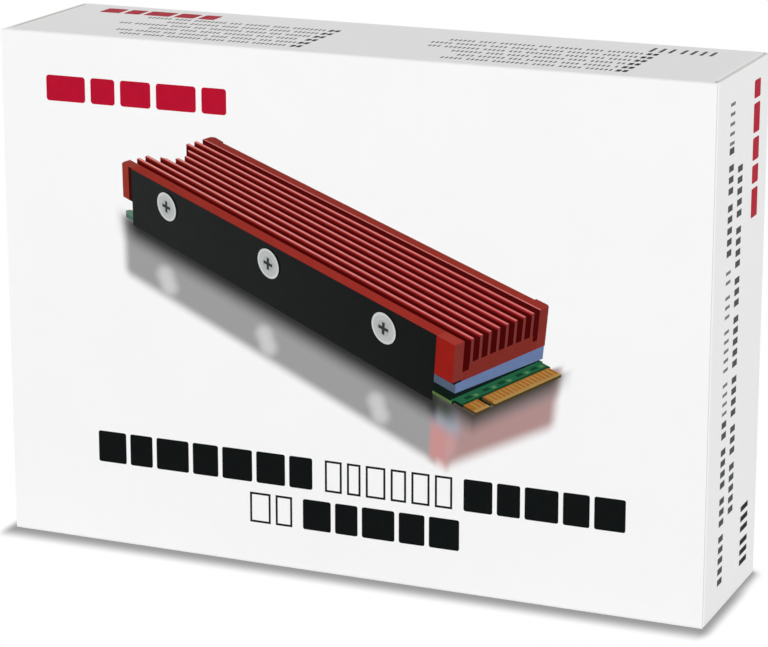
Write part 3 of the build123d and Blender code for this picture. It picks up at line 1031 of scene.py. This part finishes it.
class CARTON_OT_cooler(bpy.types.Operator):
    """Finishes the cooler's block, channel, pads and screws"""

    bl_idname = "carton.cooler"
    bl_label = "Finish the cooler"

    def execute(self, context):
        use = context.scene.carton_kit
        dress("fin_block", coated_metal("red_coating", use.red_metal, 0.34, 0.7))
        dress("base_channel", coated_metal("black_coating", use.black_metal, 0.45, 0.2))
        silicone = silicone_material("silicone_sheet", use.silicone)
        for name in ("lower_thermal_pad", "upper_thermal_pad"):
            dress(name, silicone)
        dress("side_screws", steel_material("plated_steel", use.steel, 0.28))
        return {"FINISHED"}


class CARTON_OT_packing(bpy.types.Operator):
    """Finishes the foam tray, the leaflet and the small driver"""

    bl_idname = "carton.packing"
    bl_label = "Finish the packing"

    def execute(self, context):
        use = context.scene.carton_kit
        dress("foam_tray", foam_material("closed_foam", use.foam))
        dress("leaflet", paper_material("leaflet_paper", use.paper))
        dress("driver_handle", plastic_material("moulded_plastic", use.plastic))
        dress("driver_blade", steel_material("turned_steel", use.steel, 0.33))
        return {"FINISHED"}


def coated_metal(name, colour, roughness, metallic):
    """Coated aluminium with fine lines along its length from the extrusion or the roll."""
    finish = Finish(name)
    lines = finish.noise(0.08 * MM, 3, 0.6, stretch=(60, 1, 1))
    cloud = finish.noise(5 * MM, 3)
    tone = finish.between(cloud, colour, 0.86, 1.1)
    tone = finish.mix(finish.span(lines, 0.45, 0.8, 0, 0.25), tone, varied(colour, 1.35))
    shine = (lines, 0.2, 0.8, roughness - 0.08, roughness + 0.1)
    return finish.coat(tone, shine, (lines, 0.006 * MM, 0.5), Metallic=metallic)


def silicone_material(name, colour):
    """Soft silicone sheet with fine specks."""
    finish = Finish(name)
    specks = finish.noise(0.3 * MM, 3, 0.6)
    tone = finish.between(specks, colour, 0.88, 1.08)
    return finish.coat(tone, (specks, 0.2, 0.8, 0.6, 0.78), (specks, 0.02 * MM, 0.4))


def steel_material(name, colour, roughness):
    """Bright steel with fine turning lines."""
    finish = Finish(name)
    lines = finish.noise(0.05 * MM, 3, 0.6, stretch=(1, 12, 1))
    tone = finish.between(lines, colour, 0.8, 1.1)
    shine = (lines, 0.2, 0.8, roughness - 0.06, roughness + 0.1)
    return finish.coat(tone, shine, (lines, 0.004 * MM, 0.5), Metallic=1.0)


def foam_material(name, colour):
    """Closed-cell foam: small round cells over a soft unevenness."""
    finish = Finish(name)
    bubbles = finish.cells(0.45 * MM)
    cloud = finish.noise(3 * MM, 3)
    tone = finish.between(finish.span(bubbles, 0.1, 0.7), colour, 0.7, 1.25)
    tone = finish.mix(finish.span(cloud, 0.3, 0.7, 0, 0.3), tone, varied(colour, 1.5))
    return finish.coat(tone, (cloud, 0, 1, 0.85, 0.97), (bubbles, 0.12 * MM, 0.7))


def paper_material(name, colour):
    """Uncoated paper with fine fibres."""
    finish = Finish(name)
    fibres = finish.noise(0.12 * MM, 4, 0.65, stretch=(3, 1, 1))
    cloud = finish.noise(6 * MM, 2)
    tone = finish.between(fibres, colour, 0.94, 1)
    tone = finish.mix(finish.span(cloud, 0.3, 0.7, 0, 0.3), tone, varied(colour, 0.96))
    return finish.coat(tone, (cloud, 0, 1, 0.82, 0.9), (fibres, 0.01 * MM, 0.5))


def plastic_material(name, colour):
    """Moulded plastic with the fine pitted skin of its mould."""
    finish = Finish(name)
    pits = finish.noise(0.1 * MM, 2)
    cloud = finish.noise(4 * MM, 2)
    tone = finish.between(cloud, colour, 0.85, 1.2)
    return finish.coat(tone, (pits, 0.2, 0.8, 0.32, 0.46), (pits, 0.01 * MM, 0.5))


# Stage


CAMERA_PLACE = (0.18196, -0.42464, 0.16657)
CAMERA_FORWARD = (-0.37954, 0.89161, -0.24694)
CAMERA_SHIFT = -0.08
SENSOR_WIDTH = 36
NEAREST_SEEN = 0.01
LAMP_SPREAD = radians(35)
FLOOR_HALF = 2.0
FLOOR_TONE = (0.94, 0.94, 0.94)
# Share of white left in the painted shadow at the carton's foot, and in the painted shade under what hangs
# close over the floor
FOOT_TONE, UNDER_TONE = 0.61, 0.6
# Share of open sky at which the painted shade under a thing is deepest, and at which it ends
COVERED, OPEN = 0.45, 0.98
SCREEN_GAMMA = 2.2


def make_camera(studio):
    data = bpy.data.cameras.new("photo_camera")
    data.lens = studio.lens
    data.sensor_width = SENSOR_WIDTH
    data.shift_y = CAMERA_SHIFT
    data.clip_start = NEAREST_SEEN
    camera = add_object("photo_camera", data)
    camera.location = CAMERA_PLACE
    camera.rotation_euler = Vector(CAMERA_FORWARD).to_track_quat("-Z", "Y").to_euler()
    bpy.context.scene.camera = camera


def make_world(studio):
    """A white background for the camera, and an even sky for everything else."""
    world = bpy.data.worlds.new("studio_sky")
    world.use_nodes = True
    nodes = world.node_tree.nodes
    tree = Tree(world.node_tree)
    sky, white = nodes["Background"], tree.node("ShaderNodeBackground")
    for background, strength in ((sky, studio.sky), (white, 1.0)):
        tree.plug(background.inputs["Color"], (1, 1, 1))
        tree.plug(background.inputs["Strength"], strength)
    tree.plug(nodes["World Output"].inputs["Surface"], tree.seen(sky.outputs[0], white.outputs[0]))
    bpy.context.scene.world = world


def floor_material(studio):
    """A pale floor that the camera sees as white, with a painted soft shadow round the carton's foot and
    painted shade close under anything else. Both darken the light that the camera sees the floor give off."""
    finish = Finish("studio_floor")
    finish.set(Base_Color=FLOOR_TONE, Roughness=0.9)
    place = finish.axes(finish.place)

    def beyond(outside, reach):
        return finish.sum("DIVIDE", finish.sum("MAXIMUM", outside, 0.0), reach)

    # Painted shadow round the foot, from how far a place lies beyond the carton's outline
    sideways = finish.sum("SUBTRACT", finish.sum("ABSOLUTE", place["X"]), HALF_LENGTH)
    away_x = beyond(sideways, studio.side_shadow)
    ahead = beyond(finish.sum("SUBTRACT", -HALF_DEPTH, place["Y"]), studio.front_shadow)
    away_y = finish.sum("ADD", ahead, beyond(place["Y"], HALF_DEPTH))
    squares = finish.sum("ADD", finish.sum("POWER", away_x, 2.0), finish.sum("POWER", away_y, 2.0))
    foot = finish.span(finish.sum("SQRT", squares), 0, 1, FOOT_TONE, 1, smooth=True)
    # Painted shade close under things, from how little open sky a place sees nearby
    covered = finish.node("ShaderNodeAmbientOcclusion", samples=16)
    covered.inputs["Distance"].default_value = studio.side_shadow
    under = finish.span(covered.outputs["AO"], COVERED, OPEN, UNDER_TONE, 1, smooth=True)
    tone = finish.sum("POWER", finish.sum("MINIMUM", foot, under), SCREEN_GAMMA)
    glow = finish.node("ShaderNodeEmission")
    finish.plug(glow.inputs["Strength"], tone)
    shown = finish.seen(finish.shader.outputs[0], glow.outputs[0])
    finish.plug(finish.tree.nodes["Material Output"].inputs["Surface"], shown)
    return finish.material


def make_floor(studio):
    mesh = bpy.data.meshes.new("studio_floor")
    reach = (-FLOOR_HALF, FLOOR_HALF)
    mesh.from_pydata([(x, y, 0) for x, y in rectangle(reach, reach)], [], [(0, 1, 2, 3)])
    mesh.materials.append(floor_material(studio))
    floor = add_object("studio_floor", mesh)


def make_lamp(studio):
    """One soft distant lamp, low at the front right."""
    data = bpy.data.lights.new("front_right_lamp", "SUN")
    data.energy = studio.lamp
    data.angle = LAMP_SPREAD
    lamp = add_object("front_right_lamp", data)
    turn, rise = studio.lamp_azimuth, studio.lamp_elevation
    towards = Vector((sin(turn) * cos(rise), -cos(turn) * cos(rise), sin(rise)))
    lamp.rotation_euler = towards.to_track_quat("Z", "Y").to_euler()
    lamp.location = towards


class CARTON_OT_stage(bpy.types.Operator):
    """Sets up the pale floor, the even sky, the lamp and the camera"""

    bl_idname = "carton.stage"
    bl_label = "Set the stage"

    def execute(self, context):
        studio = context.scene.carton_studio
        make_camera(studio)
        make_world(studio)
        make_floor(studio)
        make_lamp(studio)
        context.scene.view_settings.view_transform = "Standard"
        return {"FINISHED"}


PRINT_OPERATORS = (CARTON_OT_front_print, CARTON_OT_right_print, CARTON_OT_top_print)


class CARTON_PT_sidebar(bpy.types.Panel):
    bl_idname = "CARTON_PT_sidebar"
    bl_label = "Drive cooler carton"
    bl_space_type = "VIEW_3D"
    bl_region_type = "UI"
    bl_category = "Carton"

    def draw(self, context):
        for title, settings, operators in (
            ("Board", "carton_board", (CARTON_OT_board,)),
            ("Print", "carton_print", PRINT_OPERATORS),
            ("Picture", "carton_picture", (CARTON_OT_front_picture,)),
            ("Kit", "carton_kit", (CARTON_OT_cooler, CARTON_OT_packing)),
            ("Studio", "carton_studio", (CARTON_OT_stage,)),
        ):
            box = self.layout.box()
            box.label(text=title)
            group = getattr(context.scene, settings)
            for name in group.bl_rna.properties.keys():
                if name not in ("rna_type", "name"):
                    box.prop(group, name)
            for operator in operators:
                box.operator(operator.bl_idname)


GROUPS = {
    "carton_board": CartonBoardSettings,
    "carton_print": CartonPrintSettings,
    "carton_picture": CartonPictureSettings,
    "carton_kit": CartonKitSettings,
    "carton_studio": CartonStudioSettings,
}
OPERATORS = (
    CARTON_OT_stage,
    CARTON_OT_board,
    CARTON_OT_front_print,
    CARTON_OT_front_picture,
    CARTON_OT_right_print,
    CARTON_OT_top_print,
    CARTON_OT_cooler,
    CARTON_OT_packing,
)


def register():
    for made in (*GROUPS.values(), *OPERATORS, CARTON_PT_sidebar):
        bpy.utils.register_class(made)
    for name, group in GROUPS.items():
        setattr(bpy.types.Scene, name, PointerProperty(type=group))


def unregister():
    for name in GROUPS:
        delattr(bpy.types.Scene, name)
    for made in (CARTON_PT_sidebar, *OPERATORS, *GROUPS.values()):
        bpy.utils.unregister_class(made)


def main():
    register()
    for operator in OPERATORS:
        module, name = operator.bl_idname.split(".")
        getattr(getattr(bpy.ops, module), name)()


if __name__ == "__main__":
    main()
